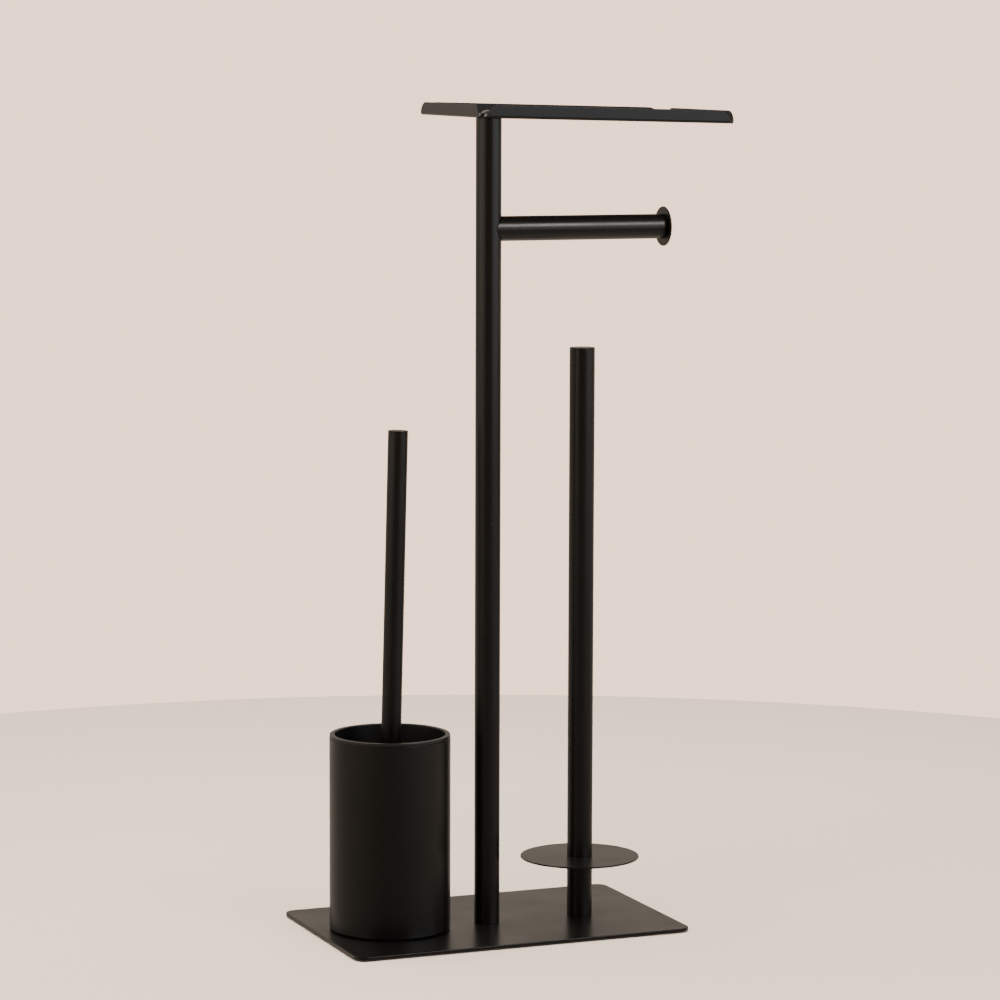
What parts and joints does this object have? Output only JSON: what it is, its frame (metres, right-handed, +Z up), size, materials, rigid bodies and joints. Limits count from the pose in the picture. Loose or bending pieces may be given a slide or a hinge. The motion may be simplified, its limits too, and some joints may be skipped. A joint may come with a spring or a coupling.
{
  "type": "toilet roll stand",
  "caption": "Free-standing black stand with a roll arm, a shallow shelf, a pole and disc for spare rolls, and a lift-out toilet brush in a lined cup.",
  "frame": {"origin": "on the floor, under the middle of the base plate", "axes": "+Z is up, +X runs along the base from the brush cup to the spare-roll pole, -Y is the front"},
  "size_m": [0.3797, 0.2245, 0.7132],
  "materials": {
    "powder_coat": "satin black powder coat",
    "zinc_steel": "bright zinc plate",
    "eva_foam": "matt closed-cell foam",
    "liner_plastic": "moulded, fine satin",
    "brush_plastic": "moulded, fine satin",
    "bristle_nylon": "nylon bristle"
  },
  "bodies": {
    "stand": {"base_plate": "powder_coat", "main_pole_lower": "powder_coat", "main_pole_upper": "powder_coat", "roll_arm": "powder_coat", "arm_end_disc": "powder_coat", "shelf_tray": "powder_coat", "spare_pole_foot": "powder_coat", "spare_disc": "powder_coat", "spare_pole_upper": "powder_coat", "spare_pole_cap": "powder_coat", "main_base_screw": "zinc_steel", "main_foot_plug": "zinc_steel", "spare_base_screw": "zinc_steel", "spare_foot_plug": "zinc_steel", "main_joint_stud": "zinc_steel", "main_joint_lower_plug": "zinc_steel", "main_joint_upper_plug": "zinc_steel", "main_top_plug": "zinc_steel", "arm_rivet_nut": "zinc_steel", "arm_tie_rod": "zinc_steel", "shelf_washer": "zinc_steel", "shelf_screw": "zinc_steel", "spare_joint_stud": "zinc_steel", "spare_joint_lower_plug": "zinc_steel", "spare_joint_upper_plug": "zinc_steel", "base_pad": "eva_foam"},
    "cup": {"brush_cup": "powder_coat", "cup_foot_ring": "eva_foam"},
    "liner": {"cup_liner": "liner_plastic"},
    "brush": {"brush_bristles": "bristle_nylon", "brush_core": "brush_plastic", "handle_plug": "zinc_steel", "brush_handle": "powder_coat", "handle_cap": "powder_coat"}
  },
  "joints": [
    {"name": "cup_lift", "type": "slide", "parent": "stand", "child": "cup", "axis": [0, 0, 1], "range_m": [0, 0.1]},
    {"name": "liner_lift", "type": "slide", "parent": "cup", "child": "liner", "axis": [0, 0, 1], "range_m": [0, 0.18]},
    {"name": "brush_lift", "type": "slide", "parent": "liner", "child": "brush", "axis": [0, 0, 1], "range_m": [0, 0.18]}
  ]
}
